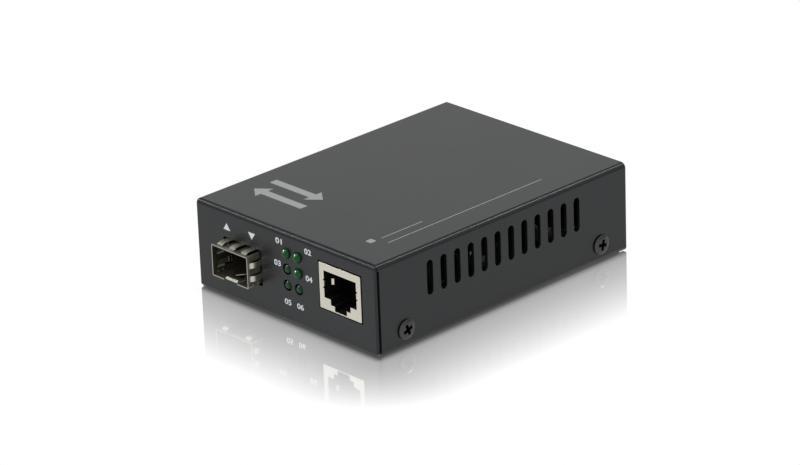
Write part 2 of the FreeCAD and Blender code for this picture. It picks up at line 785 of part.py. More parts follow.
def socket_block(inset, y0, y1, z0):
    """Block concentric with the socket, smaller than its shield by inset at the sides and the top."""
    side = socket_width / 2 - inset
    block = box(socket_x - side, socket_x + side, y0, y1, z0, board_top + socket_top - inset)
    top = side_edges(block, board_top + socket_top - inset)
    return block.makeFillet(max(socket_bend - inset, insert_play), top)


def side_edges(shape, z):
    """Edges at height z that run front to back."""
    return [edge for edge in edges_where(shape, lambda p: close(p.z, z))
            if close(edge.Vertexes[0].X, edge.Vertexes[1].X)]


def ground_leaf():
    """Sprung leaf folded inwards from the right-hand side of the mouth, its tip turned across."""
    x = socket_x + mouth_width / 2
    y = socket_front
    fold_x, fold_y = x - ground_leaf_lean, y + ground_leaf_reach
    tip_x, tip_y = fold_x - ground_leaf_tip, fold_y + ground_leaf_tip_rise
    gauge = socket_sheet
    low, high = board_top + ground_leaf_low, board_top + ground_leaf_high
    return prism([(x, y, low), (x + gauge, y, low), (fold_x + gauge, fold_y, low),
                  (tip_x, tip_y + gauge, low), (tip_x, tip_y, low), (fold_x, fold_y - gauge, low)],
                 (0, 0, high - low))


def rj45_shield():
    """Plated shield: face, top, sides and rear from one sheet, sprung leaves, two board pins."""
    rear = socket_front + socket_depth
    z0 = board_top + socket_foot
    shield = socket_block(0, socket_front, rear, z0)
    hollow = socket_block(socket_sheet, socket_front + socket_sheet, rear - socket_sheet, z0 - overrun)
    mouth = socket_mouth(socket_front - overrun, socket_front + overrun)
    x = socket_x + mouth_width / 2
    slit = ground_leaf_relief
    reliefs = [box(x, x + slit, socket_front - overrun, socket_front + overrun, z - slit / 2,
                   z + slit / 2)
               for z in (board_top + ground_leaf_low - slit / 2, board_top + ground_leaf_high + slit / 2)]
    leaf = ground_leaf()
    across = 2 * socket_x
    pieces = [leaf, flipped(leaf, across)]
    cutters = [hollow, mouth] + reliefs + [flipped(relief, across) for relief in reliefs]
    y = socket_front + shield_pin_setback
    for side in (-1, 1):
        wall = socket_x + side * (socket_width - socket_sheet) / 2
        pieces.append(box(wall - socket_sheet / 2, wall + socket_sheet / 2, y - shield_pin_width / 2,
                          y + shield_pin_width / 2, board_top - shield_pin_length, z0 + shield_pin_width / 2))
    return shield.cut(cutters).fuse(pieces).removeSplitter()


def flipped(shape, across):
    """Mirror image about the upright plane x = across / 2."""
    image = mirrored_x(shape)
    image.translate(V(across, 0, 0))
    return image


def rj45_insert():
    """Moulded body inside the shield, open at the mouth, with two pegs that locate it on the board."""
    inset = socket_sheet + insert_play
    y0 = socket_front + inset
    y1 = socket_front + socket_depth - inset
    body = socket_block(inset, y0, y1, board_top)
    low, high = ground_leaf_low - ground_leaf_relief, ground_leaf_high + ground_leaf_relief
    room = mouth_width / 2 + socket_sheet + insert_play
    leaf_room = box(socket_x - room, socket_x + room, y0 - overrun,
                    socket_front + ground_leaf_reach + overrun, board_top + low, board_top + high)
    body = body.cut([socket_mouth(y0 - overrun, socket_front + mouth_depth, insert_play), leaf_room])
    pegs = [pin(peg_r, (socket_x + side * peg_spread / 2, socket_front + peg_setback, board_bottom),
                (0, 0, 1), board_thickness + socket_foot) for side in (-1, 1)]
    return body.fuse(pegs).removeSplitter()


def rj45_contacts():
    """Sprung contacts: along the roof of the mouth, then sloping down towards its rear."""
    roof = board_top + mouth_top + insert_play
    path = [(socket_front + contact_start, roof), (socket_front + contact_bend, roof),
            (socket_front + contact_end, roof - contact_drop)]
    contacts = []
    for index in range(contact_count):
        x = socket_x + (index - (contact_count - 1) / 2) * contact_pitch
        contacts.append(bent_strip(path, -contact_thickness, x - contact_thickness / 2,
                                   x + contact_thickness / 2))
    return contacts


# ---- indicator lights ---------------------------------------------------------------------------

def indicator_light(x, z, tip):
    """Moulded light: dome, round body and flange, lying along Y with its dome to the front."""
    angles = [math.pi / 2 * step / dome_steps for step in range(dome_steps + 1)]
    dome = [(light_r * (1 - math.cos(a)), light_r * math.sin(a)) for a in angles]
    flange = light_length - light_flange_thickness
    body = [(flange, light_r), (flange, light_flange_r), (light_length, light_flange_r), (light_length, 0)]
    return turned(dome + body, (x, tip, z), (0, 1, 0))


def led_leads():
    """Two leads a light: straight back from the flange, then down through the board."""
    leads = []
    for _, x, z, tip, run in light_places():
        start = tip + light_length
        y = lead_line(tip, run) + lead_thickness
        top = z + lead_thickness / 2
        path = [(y, board_bottom - lead_below), (y, top - lead_bend), (y - lead_bend, top), (start, top)]
        for side in (-1, 1):
            middle = x + side * lead_spread / 2
            leads.append(bent_strip(path, lead_thickness, middle - lead_thickness / 2,
                                    middle + lead_thickness / 2))
    return leads


# ---- power inlet --------------------------------------------------------------------------------

def dc_jack_body():
    """Moulded inlet: square front block, round barrel on a plinth, blind bore from the rear panel."""
    axis_z = board_top + inlet_axis
    side = inlet_width / 2
    rear = inlet_front - inlet_depth
    block = box(inlet_x - side, inlet_x + side, inlet_front - inlet_collar, inlet_front, board_top,
                board_top + inlet_top)
    barrel = rod(inlet_barrel_r, (inlet_x, rear, axis_z), (inlet_x, inlet_front, axis_z))
    plinth = box(inlet_x - inlet_barrel_r, inlet_x + inlet_barrel_r, rear, inlet_front, board_top, axis_z)
    bore = rod(inlet_bore_r, (inlet_x, inlet_front - inlet_bore_depth, axis_z),
               (inlet_x, inlet_front + overrun, axis_z))
    pin_hole = pin(inlet_pin_r, (inlet_x, rear - overrun, axis_z), (0, 1, 0), inlet_depth)
    body = block.fuse([barrel, plinth]).removeSplitter()
    leaf_slot = box(inlet_x - inlet_leaf_width / 2, inlet_x + inlet_leaf_width / 2,
                    inlet_front - inlet_bore_depth, inlet_front - inlet_collar,
                    board_top - overrun, axis_z)
    return body.cut([bore, pin_hole, leaf_slot])


def dc_jack_pin():
    """Centre pin with a coned tip; behind the body it turns down into a solder tab."""
    axis_z = board_top + inlet_axis
    rear = inlet_front - inlet_depth
    reach = inlet_depth - inlet_bore_depth + inlet_pin_length
    post = turned([(0, 0), (0, inlet_pin_r), (reach - inlet_pin_r / 2, inlet_pin_r),
                   (reach, inlet_pin_r / 2), (reach, 0)], (inlet_x, rear, axis_z), (0, 1, 0))
    w = inlet_tab_width / 2
    tab = box(inlet_x - w, inlet_x + w, rear - inlet_tab_thickness, rear,
              board_top - inlet_tab_length, axis_z + w)
    return post.fuse(tab)


def dc_jack_contact():
    """Outer contact: a leaf below the bore, on a solder tab that goes through the board."""
    y = inlet_tab_places()[1]
    w = inlet_leaf_width / 2
    seat = board_top + inlet_axis - inlet_bore_r
    front_end = inlet_front - inlet_collar
    leaf = box(inlet_x - w, inlet_x + w, front_end - inlet_leaf_length, front_end,
               seat - inlet_tab_thickness, seat)
    tab = box(inlet_x - w, inlet_x + w, y - inlet_tab_thickness / 2, y + inlet_tab_thickness / 2,
              board_top - inlet_tab_length, seat)
    return leaf.fuse(tab)


# ---- other parts on the board -------------------------------------------------------------------

def part_body(place, size, chamfer=0.0):
    """Moulded body standing on the board, its upper edges chamfered."""
    (x, y), (a, b, c) = place, size
    body = box(x - a / 2, x + a / 2, y - b / 2, y + b / 2, board_top, board_top + c)
    if chamfer:
        body = body.makeChamfer(chamfer, edges_where(body, lambda p: close(p.z, board_top + c)))
    return body


def leaded_body(place, size, chamfer):
    """Moulded body held just above the board by its leads."""
    body = part_body(place, size, chamfer)
    body.translate(V(0, 0, gull_thickness))
    return body


def crystal_can():
    x, y = crystal_place
    length, breadth, tall = crystal_size
    r = breadth / 2
    pieces = []
    for grow, z0, z1 in ((crystal_flange, 0, crystal_flange), (0, crystal_flange, tall)):
        middle = box(x - length / 2 + r, x + length / 2 - r, y - r - grow, y + r + grow,
                     board_top + z0, board_top + z1)
        ends = [pin(r + grow, (x + side * (length / 2 - r), y, board_top + z0), (0, 0, 1), z1 - z0)
                for side in (-1, 1)]
        pieces.append(middle.fuse(ends))
    return pieces[0].fuse(pieces[1]).removeSplitter()


def capacitor_cans():
    tall = can_height - can_base
    profile = [(0, 0), (0, can_r), (tall - can_edge, can_r), (tall, can_r - can_edge), (tall, 0)]
    return [turned(profile, (x, y, board_top + can_base), (0, 0, 1)) for x, y in can_places]


def capacitor_bases():
    return [part_body(place, (can_base_size, can_base_size, can_base)) for place in can_places]


def power_inductor():
    x, y = inductor_place
    body = part_body(inductor_place, (inductor_size, inductor_size, inductor_height), part_chamfer)
    floor = board_top + inductor_height - part_chamfer
    groove = pin(inductor_groove_r, (x, y, floor), (0, 0, 1), overrun)
    core = pin(inductor_core_r, (x, y, floor), (0, 0, 1), part_chamfer)
    return body.cut(groove).fuse(core)


def regulator_leads():
    half_depth = regulator_size[1] / 2
    leads = gull_leads(half_depth, regulator_pitch, regulator_pins, regulator_place, -1)
    tab = gull_leads(half_depth, regulator_pitch, 1, regulator_place, 1)[0]
    return leads + [tab]


def small_parts():
    """Surface-mount resistors and capacitors in short rows."""
    return [part_body((x + index * small_part_pitch, y), small_part)
            for x, y in small_part_rows for index in range(small_part_count)]


def row_leads(place, size, pitch, count):
    """Leads along both long sides of a body."""
    return [lead for sign in (-1, 1) for lead in gull_leads(size[1] / 2, pitch, count, place, sign)]


def build():
    """Every node of the converter: one solid, or a list of separate like solids."""
    nodes = {
        "top_cover": top_cover(),
        "bottom_tray": bottom_tray(),
        "cover_screws": cover_screws(),
        "board_standoffs": board_standoffs(),
        "board_screws": board_screws(),
        "circuit_board": circuit_board(),
        "sfp_cage": sfp_cage(),
        "sfp_spring_collar": sfp_spring_collar(),
        "sfp_edge_connector": sfp_edge_connector(),
        "sfp_edge_contacts": sfp_edge_contacts(),
        "rj45_shield": rj45_shield(),
        "rj45_insert": rj45_insert(),
        "rj45_contacts": rj45_contacts(),
        "led_leads": led_leads(),
        "dc_jack_body": dc_jack_body(),
        "dc_jack_pin": dc_jack_pin(),
        "dc_jack_contact": dc_jack_contact(),
        "converter_chip": part_body(chip_place, (chip_size, chip_size, chip_height), part_chamfer),
        "magnetics_module": leaded_body(magnetics_place, magnetics_size, part_chamfer),
        "magnetics_leads": row_leads(magnetics_place, magnetics_size, magnetics_pitch, magnetics_pins),
        "memory_chip": leaded_body(memory_place, memory_size, part_chamfer),
        "memory_leads": row_leads(memory_place, memory_size, memory_pitch, memory_pins),
        "crystal_can": crystal_can(),
        "capacitor_cans": capacitor_cans(),
        "capacitor_bases": capacitor_bases(),
        "power_inductor": power_inductor(),
        "voltage_regulator": leaded_body(regulator_place, regulator_size, part_chamfer),
        "regulator_leads": regulator_leads(),
        "small_parts": small_parts(),
    }
    for name, x, z, tip, _ in light_places():
        nodes["led_" + name] = indicator_light(x, z, tip)
    return nodes


def export(nodes):
    os.makedirs("parts", exist_ok=True)
    for name, shape in nodes.items():
        if isinstance(shape, list):
            shape = Part.makeCompound(shape)
        shape.exportStep(os.path.join("parts", name + ".step"))


export(build())
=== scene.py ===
import bpy
import math
from mathutils import Matrix, Vector


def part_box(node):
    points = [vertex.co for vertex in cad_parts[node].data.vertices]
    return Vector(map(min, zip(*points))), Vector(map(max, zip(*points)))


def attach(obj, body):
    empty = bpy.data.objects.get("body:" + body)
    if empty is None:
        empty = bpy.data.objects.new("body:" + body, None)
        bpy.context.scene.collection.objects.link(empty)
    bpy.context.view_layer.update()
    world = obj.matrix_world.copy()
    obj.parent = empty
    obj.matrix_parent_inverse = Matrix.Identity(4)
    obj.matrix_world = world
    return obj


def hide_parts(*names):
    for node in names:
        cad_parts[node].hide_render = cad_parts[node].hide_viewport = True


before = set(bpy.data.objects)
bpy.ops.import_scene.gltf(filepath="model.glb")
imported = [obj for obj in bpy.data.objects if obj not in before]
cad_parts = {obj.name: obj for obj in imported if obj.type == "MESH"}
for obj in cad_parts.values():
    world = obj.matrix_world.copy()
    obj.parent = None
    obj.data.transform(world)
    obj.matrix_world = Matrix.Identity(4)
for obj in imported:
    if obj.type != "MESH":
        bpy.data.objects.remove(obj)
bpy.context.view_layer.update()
MM = 0.001

# Where things are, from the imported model.
cover_lo, cover_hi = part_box("top_cover")
front_y, side_x, top_z = cover_lo[1], cover_hi[0], cover_hi[2]
socket_front_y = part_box("rj45_shield")[0][1]

# The collar's fingers bow out from the walls of the cage by this, above and below and at its sides.
BOW, SIDE_BOW = 0.62 * MM, 0.37 * MM
collar_lo, collar_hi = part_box("sfp_spring_collar")
rim_y = collar_lo[1]
cage_middle_x = (collar_lo[0] + collar_hi[0]) / 2
cage_half_width = (collar_hi[0] - collar_lo[0]) / 2 - SIDE_BOW
cage_top, cage_bottom = collar_hi[2] - BOW, collar_lo[2] + BOW

SCREW_HEAD_R = 2.85 * MM
screw_lo, screw_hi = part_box("cover_screws")
screw_y, screw_z = screw_hi[1] - SCREW_HEAD_R, (screw_lo[2] + screw_hi[2]) / 2

# The lowest light on the left, and the steps from it to the right column and to the row above.
light_lo, light_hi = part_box("led_lower_left")
light_x, light_z = (light_lo[0] + light_hi[0]) / 2, (light_lo[2] + light_hi[2]) / 2
far_light_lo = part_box("led_upper_right")[0]
light_pitch_x = far_light_lo[0] - light_lo[0]
light_pitch_z = (far_light_lo[2] - light_lo[2]) / 2


# ---- materials --------------------------------------------------------------------------------

class Value:
    """An output of a material's node tree, in a form that arithmetic can be written with."""

    def __init__(self, look, socket):
        self.look = look
        self.socket = socket

    def _math(self, operation, first, second):
        return self.look.node("ShaderNodeMath", {"operation": operation}, {0: first, 1: second})

    def __add__(self, other):
        return self._math("ADD", self, other)

    def __sub__(self, other):
        return self._math("SUBTRACT", self, other)

    def __rsub__(self, other):
        return self._math("SUBTRACT", other, self)

    def __mul__(self, other):
        return self._math("MULTIPLY", self, other)

    def __truediv__(self, other):
        return self._math("DIVIDE", self, other)

    def __pow__(self, other):
        return self._math("POWER", self, other)

    def __abs__(self):
        return self._math("ABSOLUTE", self, 0.0)

    def above(self, other):
        """The larger of the two."""
        return self._math("MAXIMUM", self, other)

    __radd__ = __add__
    __rmul__ = __mul__


class Look:
    """A material with one surface shader, fed by nodes that read the object's own coordinates."""

    def __init__(self, name, **fixed):
        self.material = bpy.data.materials.new(name)
        self.material.use_nodes = True
        self.tree = self.material.node_tree
        self.shader = self.tree.nodes["Principled BSDF"]
        self.place = self.node("ShaderNodeTexCoord", output="Object")
        for socket, value in fixed.items():
            self.shader.inputs[socket.replace("_", " ")].default_value = value

    def node(self, kind, settings=None, sockets=None, output=0):
        """Adds one node: its settings first, then the values or links of its sockets."""
        made = self.tree.nodes.new(kind)
        for key, value in (settings or {}).items():
            setattr(made, key, value)
        for key, value in (sockets or {}).items():
            self.feed(made.inputs[key], value)
        return Value(self, made.outputs[output])

    def feed(self, socket, value):
        if isinstance(value, Value):
            self.tree.links.new(value.socket, socket)
        else:
            socket.default_value = value

    def surface(self, **varying):
        for socket, value in varying.items():
            self.feed(self.shader.inputs[socket.replace("_", " ")], value)
        return self

    def noise(self, per_metre, detail, stretch=None):
        """Cloudy pattern between 0 and 1, so many clouds to the metre, stretched along an axis if asked."""
        place = self.place
        if stretch:
            place = self.node("ShaderNodeMapping", {}, {"Vector": self.place, "Scale": stretch})
        return self.node("ShaderNodeTexNoise", {}, {"Vector": place, "Scale": per_metre, "Detail": detail})

    def shade(self, factor, dark, light):
        """Colour between two colours, each of them plain or a Value."""
        dark, light = [colour if isinstance(colour, Value) else (*colour, 1.0) for colour in (dark, light)]
        return self.node("ShaderNodeMix", {"data_type": "RGBA"}, {0: factor, 6: dark, 7: light}, output=2)

    def step(self, value, low, high):
        """0 below low, 1 above high, smooth between."""
        return self.node("ShaderNodeMapRange", {"interpolation_type": "SMOOTHSTEP"},
                         {"Value": value, "From Min": low, "From Max": high})

    def relief(self, height, depth, strength):
        return self.node("ShaderNodeBump", {}, {"Height": height, "Distance": depth, "Strength": strength})

    def axis(self, name):
        """Place along one of the object's axes."""
        return self.node("ShaderNodeSeparateXYZ", {}, {0: self.place}, output=name)

    def offset(self, name, centre, pitch):
        """Distance along an axis from the nearest of a row of centres."""
        turns = (self.axis(name) - centre) / pitch + 0.5
        return (self.node("ShaderNodeMath", {"operation": "FRACT"}, {0: turns}) - 0.5) * pitch


class WorldLook(Look):
    """The same helpers on the world's node tree, where a place is a direction."""

    def __init__(self, world):
        self.tree = world.node_tree
        self.place = self.node("ShaderNodeTexCoord", output="Generated")


def span(first, second):
    """Straight distance, from two distances square to each other."""
    return (first * first + second * second) ** 0.5


# Lighter grey of the painted highlight along the cover's lower edges.
EDGE_HIGHLIGHT_GREY = (0.066, 0.062, 0.056)
# Painted shade inside the socket's mouth; also the darker cut edge of the collar.
SHADE_AND_CUT_EDGE_GREY = (0.04, 0.038, 0.033)
# Painted shade down in the cross recesses of the screws.
RECESS_SHADE_BLACK = (0.004, 0.004, 0.004)
EDGE_HEIGHT = 0.95 * MM  # height of the painted highlight along the cover's lower edges
LEAF_TIPS = 2.2 * MM, 3.0 * MM  # tips of the ground leaves, behind the socket's front
RECESS_R = 2.35 * MM
LIP_HALF_WIDTH, LIP_LENGTH, LIP_HEIGHT = 2.6 * MM, 1.8 * MM, 1.4 * MM
GLINT_R, GLINT_HEIGHT = 0.42 * MM, 0.8 * MM


def lower_edge_highlight(look):
    """Painted highlight: 1 along the lower edges of the cover's sides, less towards the front."""
    low = 1.0 - look.step(look.axis("Z") - cover_lo[2], EDGE_HEIGHT - 0.6 * MM, EDGE_HEIGHT)
    outside = look.step(abs(look.axis("X")), side_x - 0.2 * MM, side_x - 0.1 * MM)
    return low * outside * (0.35 + 0.65 * look.step(look.axis("Y"), 0.0, 30 * MM))


def powder_coat(name, dark, light, rough):
    """Textured powder coat: fine grain, a little unevenness, and a painted highlight along the cover's lower
    edges.
    """
    look = Look(name, Specular_IOR_Level=0.345)
    grain = look.noise(2200.0, 2.0)
    clouds = look.noise(60.0, 4.0)
    # Painted highlight: lighter grey along the lower edges of the cover's sides.
    colour = look.shade(lower_edge_highlight(look), look.shade(clouds, dark, light), EDGE_HIGHLIGHT_GREY)
    return look.surface(Base_Color=colour,
                        Roughness=rough + 0.06 * clouds + 0.06 * grain,
                        Normal=look.relief(grain, 0.03 * MM, 0.36)).material


def plated_metal(name, dark, light, rough, stretch=(1.0, 1.0, 1.0), darkened_where=None, darker_colour=SHADE_AND_CUT_EDGE_GREY, worn=None):
    """Plated sheet: rolling lines and faint stains; darker where a mask is 1 (painted shade, or a darker cut
    edge), less of a mirror where worn.
    """
    look = Look(name, Metallic=1.0)
    lines = look.noise(900.0, 4.0, stretch)
    stains = look.noise(170.0, 5.0)
    colour = look.shade(0.6 * stains + 0.4 * lines, dark, light)
    # Darker where the mask is 1: painted shade in the screw recesses and the socket's mouth, a darker cut
    # edge on the collar.
    if darkened_where:
        colour = look.shade(darkened_where(look), colour, darker_colour)
    roughness = rough + 0.14 * stains + 0.05 * lines
    if worn:
        roughness = roughness + 0.14 * worn(look)
    return look.surface(Base_Color=colour, Roughness=roughness,
                        Normal=look.relief(lines, 0.004 * MM, 0.4)).material


def socket_mouth_shade(look):
    """Painted shade: 1 inside the mouth of the socket, but for the tips of its two leaves."""
    depth = look.axis("Y") - socket_front_y
    tip_start, tip_end = LEAF_TIPS
    tips = (look.step(depth, tip_start, tip_start + 0.1 * MM)
            * (1.0 - look.step(depth, tip_end - 0.1 * MM, tip_end)))
    return look.step(depth, 0.25 * MM, 0.5 * MM) * (1.0 - tips)


def cut_rim(look):
    """Half way to dark on the cut edge of the collar."""
    return 0.5 - 0.5 * look.step(look.axis("Y") - rim_y, 0.03 * MM, 0.15 * MM)


def screw_recess_shade(look):
    """Painted shade: 1 down in the cross recesses of the cover screws."""
    off_axis = span(abs(look.axis("Y")) - screw_y, look.axis("Z") - screw_z)
    deep = look.step(screw_hi[0] - abs(look.axis("X")), 0.15 * MM, 0.4 * MM)
    return deep * (1.0 - look.step(off_axis, RECESS_R - 0.15 * MM, RECESS_R))


def tongue_lip(look):
    """1 on the lip of the latch tongue, at the mouth of the cage."""
    aside = look.step(abs(look.axis("X") - cage_middle_x), LIP_HALF_WIDTH - 0.2 * MM, LIP_HALF_WIDTH)
    behind = look.step(look.axis("Y") - rim_y, LIP_LENGTH - 0.4 * MM, LIP_LENGTH)
    over = look.step(look.axis("Z") - cage_bottom, LIP_HEIGHT - 0.4 * MM, LIP_HEIGHT)
    return (1.0 - aside) * (1.0 - behind) * (1.0 - over)


def moulding(name, dark, light, rough, sheen=0.5):
    """Moulded plastic with a faint spark-eroded grain."""
    look = Look(name, Specular_IOR_Level=sheen)
    grain = look.noise(3500.0, 2.0)
    clouds = look.noise(120.0, 3.0)
    return look.surface(Base_Color=look.shade(clouds, dark, light),
                        Roughness=rough + 0.1 * grain,
                        Normal=look.relief(grain, 0.01 * MM, 0.35)).material


def board_laminate():
    """Green solder mask over copper tracks and pads."""
    look = Look("green solder mask", Specular_IOR_Level=0.5)
    cells = look.node("ShaderNodeTexVoronoi", {"feature": "F1", "distance": "MANHATTAN"},
                      {"Vector": look.place, "Scale": 260.0}, output="Distance")
    tracks = look.step(cells, 0.34, 0.4)
    clouds = look.noise(90.0, 3.0)
    mask = look.shade(tracks, (0.004, 0.030, 0.012), (0.008, 0.052, 0.022))
    return look.surface(Base_Color=mask, Roughness=0.3 + 0.12 * clouds,
                        Normal=look.relief(tracks, 0.03 * MM, 0.6)).material


def tinted_epoxy():
    """Green clear epoxy of a light: dark where the panel shades it, with a glint high on its dome."""
    look = Look("green epoxy", IOR=1.52, Specular_IOR_Level=0.2, Coat_IOR=3.5, Coat_Roughness=0.03)
    clouds = look.noise(400.0, 1.0)
    depth = look.axis("Y") - front_y
    shaded = look.step(depth, -0.6 * MM, 0.25 * MM)
    colour = look.shade((0.4 * clouds + 0.8) * (1.0 - shaded), (0.0008, 0.012, 0.004), (0.003, 0.070, 0.016))
    off_glint = span(look.offset("X", light_x, light_pitch_x),
                     look.offset("Z", light_z, light_pitch_z) - GLINT_HEIGHT)
    glint = 1.0 - look.step(off_glint, GLINT_R - 0.22 * MM, GLINT_R)
    dimmed = 0.75 * look.step(depth, -0.7 * MM, -0.3 * MM)
    return look.surface(Base_Color=colour, Roughness=0.05 + 0.04 * clouds,
                        Coat_Weight=glint * (1.0 - dimmed)).material


def ink(name, dark, light):
    """Screen-printed ink."""
    look = Look(name)
    mottle = look.noise(5000.0, 2.0)
    return look.surface(Base_Color=look.shade(mottle, dark, light), Roughness=0.45 + 0.1 * mottle).material


COVER = powder_coat("black powder coat", (0.0055, 0.007, 0.0085), (0.0095, 0.011, 0.0125), 0.27)
# Painted shade, near black, down in the cross recesses of the screws.
SCREW_BLACK = plated_metal("black oxide", (0.045, 0.045, 0.046), (0.085, 0.085, 0.086), 0.22,
                           darkened_where=screw_recess_shade, darker_colour=RECESS_SHADE_BLACK)
ZINC = plated_metal("zinc plate", (0.50, 0.50, 0.49), (0.66, 0.66, 0.64), 0.26)
CAGE = plated_metal("cage plating", (0.30, 0.29, 0.235), (0.46, 0.45, 0.375), 0.26, (1.0, 0.12, 1.0),
                    worn=tongue_lip)
COLLAR = plated_metal("spring collar plating", (0.50, 0.49, 0.41), (0.70, 0.685, 0.58), 0.26,
                      (1.0, 0.12, 1.0), darkened_where=cut_rim)
# Painted shade inside the socket's mouth, but for the tips of the leaves.
SHIELD = plated_metal("shield plating", (0.56, 0.53, 0.46), (0.68, 0.645, 0.565), 0.24, (0.2, 1.0, 1.0),
                      darkened_where=socket_mouth_shade)
TIN = plated_metal("tinned copper", (0.55, 0.55, 0.54), (0.72, 0.72, 0.71), 0.25)
GOLD = plated_metal("gold flash", (0.72, 0.50, 0.18), (0.86, 0.66, 0.30), 0.2)
STUD = plated_metal("plated stud", (0.55, 0.50, 0.38), (0.70, 0.65, 0.50), 0.28)
CAN = plated_metal("aluminium can", (0.66, 0.66, 0.67), (0.80, 0.80, 0.81), 0.28, (1.0, 1.0, 0.1))
BLACK_MOULDING = moulding("black moulding", (0.010, 0.010, 0.011), (0.018, 0.018, 0.019), 0.5)
INSERT_MOULDING = moulding("socket moulding", (0.004, 0.004, 0.0045), (0.007, 0.007, 0.0075), 0.5, 0.15)
CHIP = moulding("chip moulding", (0.016, 0.016, 0.018), (0.028, 0.028, 0.03), 0.55)
FERRITE = moulding("ferrite", (0.035, 0.035, 0.037), (0.06, 0.06, 0.062), 0.6)
CERAMIC = moulding("ceramic", (0.30, 0.21, 0.13), (0.42, 0.31, 0.20), 0.5)
LAMINATE = board_laminate()
EPOXY = tinted_epoxy()
WHITE_INK = ink("white ink", (0.62, 0.66, 0.70), (0.74, 0.78, 0.80))
GREY_INK = ink("grey ink", (0.24, 0.25, 0.25), (0.31, 0.32, 0.32))

NODE_LOOKS = {
    "top_cover": COVER, "bottom_tray": COVER, "cover_screws": SCREW_BLACK, "board_standoffs": STUD,
    "board_screws": ZINC, "circuit_board": LAMINATE, "sfp_cage": CAGE, "sfp_spring_collar": CAGE,
    "sfp_edge_connector": BLACK_MOULDING, "sfp_edge_contacts": GOLD, "rj45_shield": SHIELD,
    "rj45_insert": INSERT_MOULDING, "rj45_contacts": GOLD, "led_leads": TIN,
    "dc_jack_body": BLACK_MOULDING, "dc_jack_pin": TIN, "dc_jack_contact": TIN,
    "converter_chip": CHIP, "magnetics_module": CHIP, "magnetics_leads": TIN, "memory_chip": CHIP,
    "memory_leads": TIN, "crystal_can": ZINC, "capacitor_cans": CAN, "capacitor_bases": BLACK_MOULDING,
    "power_inductor": FERRITE, "voltage_regulator": CHIP, "regulator_leads": TIN, "small_parts": CERAMIC,
}
LIGHT_NODES = [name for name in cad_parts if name.startswith("led_") and name != "led_leads"]


def dress(obj, material):
    """This material and no other."""
    obj.data.materials.clear()
    obj.data.materials.append(material)


for node, material in NODE_LOOKS.items():
    dress(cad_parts[node], material)
for node in LIGHT_NODES:
    dress(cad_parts[node], EPOXY)


# ---- modelling helpers ------------------------------------------------------------------------

UPRIGHT = Matrix.Rotation(math.radians(90), 4, "X")  # turns what points up to the front


def only(obj):
    """Nothing but this object selected and active."""
    bpy.ops.object.select_all(action="DESELECT")
    obj.select_set(True)
    bpy.context.view_layer.objects.active = obj


def turned(name, profile, sides=64):
    """Closed turned form along Z: a disc, then an extrusion and a resize for each height and radius."""
    bpy.ops.object.select_all(action="DESELECT")
    start_height, start_radius = profile[0]
    bpy.ops.mesh.primitive_circle_add(vertices=sides, radius=start_radius, fill_type="NGON",
                                      location=(0, 0, start_height))
    obj = bpy.context.object
    obj.name = name
    bpy.ops.object.transform_apply()
    bpy.ops.object.mode_set(mode="EDIT")
    bpy.ops.mesh.select_all(action="SELECT")
    height, radius = start_height, start_radius
    for next_height, next_radius in profile[1:]:
        bpy.ops.mesh.extrude_region_move(TRANSFORM_OT_translate={"value": (0, 0, next_height - height)})
        share = next_radius / radius
        bpy.ops.transform.resize(value=(share, share, 1.0), center_override=(0, 0, 0))
        height, radius = next_height, next_radius
    bpy.ops.mesh.select_all(action="SELECT")
    bpy.ops.mesh.normals_make_consistent(inside=False)
    bpy.ops.object.mode_set(mode="OBJECT")
    return obj


def place(obj, matrix):
    """Puts the object's place into its mesh."""
    obj.data.transform(matrix)
    obj.data.update()
    return obj


def middle_of(node):
    low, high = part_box(node)
    return (Vector(low) + Vector(high)) / 2


def joined(pieces, name):
    """The pieces as one object."""
    only(pieces[0])
    for piece in pieces:
        piece.select_set(True)
    bpy.ops.object.join()
    pieces[0].name = name
    return pieces[0]


def merged_copy(node, name):
    """Copy of a node, its loose triangles merged to whole flat faces."""
    bpy.ops.object.select_all(action="DESELECT")
    piece = bpy.data.objects.new(name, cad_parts[node].data.copy())
    bpy.context.scene.collection.objects.link(piece)
    only(piece)
    bpy.ops.object.mode_set(mode="EDIT")
    bpy.ops.mesh.select_all(action="SELECT")
    bpy.ops.mesh.remove_doubles(threshold=2e-6)
    bpy.ops.mesh.dissolve_limited(angle_limit=math.radians(0.5))
    bpy.ops.object.mode_set(mode="OBJECT")
    return piece


def finish(obj, material, body="root", smooth=35.0):
    """Smooths the shallow edges, and puts the piece in its material and on its body."""
    only(obj)
    bpy.ops.object.shade_smooth_by_angle(angle=math.radians(smooth))
    dress(obj, material)
    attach(obj, body)
    return obj


# ---- folded sheet pieces with eased edges -------------------------------------------------------

def eased_copy(node, name, material, width):
    """Copy of a sheet-metal part with its cut edges slightly rounded."""
    piece = merged_copy(node, name)
    ease = piece.modifiers.new("ease", "BEVEL")
    ease.width = width
    ease.segments = 2
    ease.limit_method = "ANGLE"
    ease.angle_limit = math.radians(32)
    ease.use_clamp_overlap = True
    bpy.ops.object.modifier_apply(modifier=ease.name)
    finish(piece, material, smooth=50.0)
    flatten_shading(piece)
    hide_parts(node)


def flatten_shading(piece):
    """Large faces keep their own direction; only the narrow rounded ones between them are shaded over."""
    weigh = piece.modifiers.new("weigh", "WEIGHTED_NORMAL")
    weigh.mode = "FACE_AREA"
    weigh.weight = 100
    weigh.keep_sharp = True
    bpy.ops.object.modifier_apply(modifier=weigh.name)


eased_copy("top_cover", "cover_shell", COVER, 0.14 * MM)
eased_copy("rj45_shield", "socket_shell", SHIELD, 0.07 * MM)
eased_copy("sfp_cage", "cage_shell", CAGE, 0.09 * MM)


# ---- spring collar of the fibre cage ----------------------------------------------------------

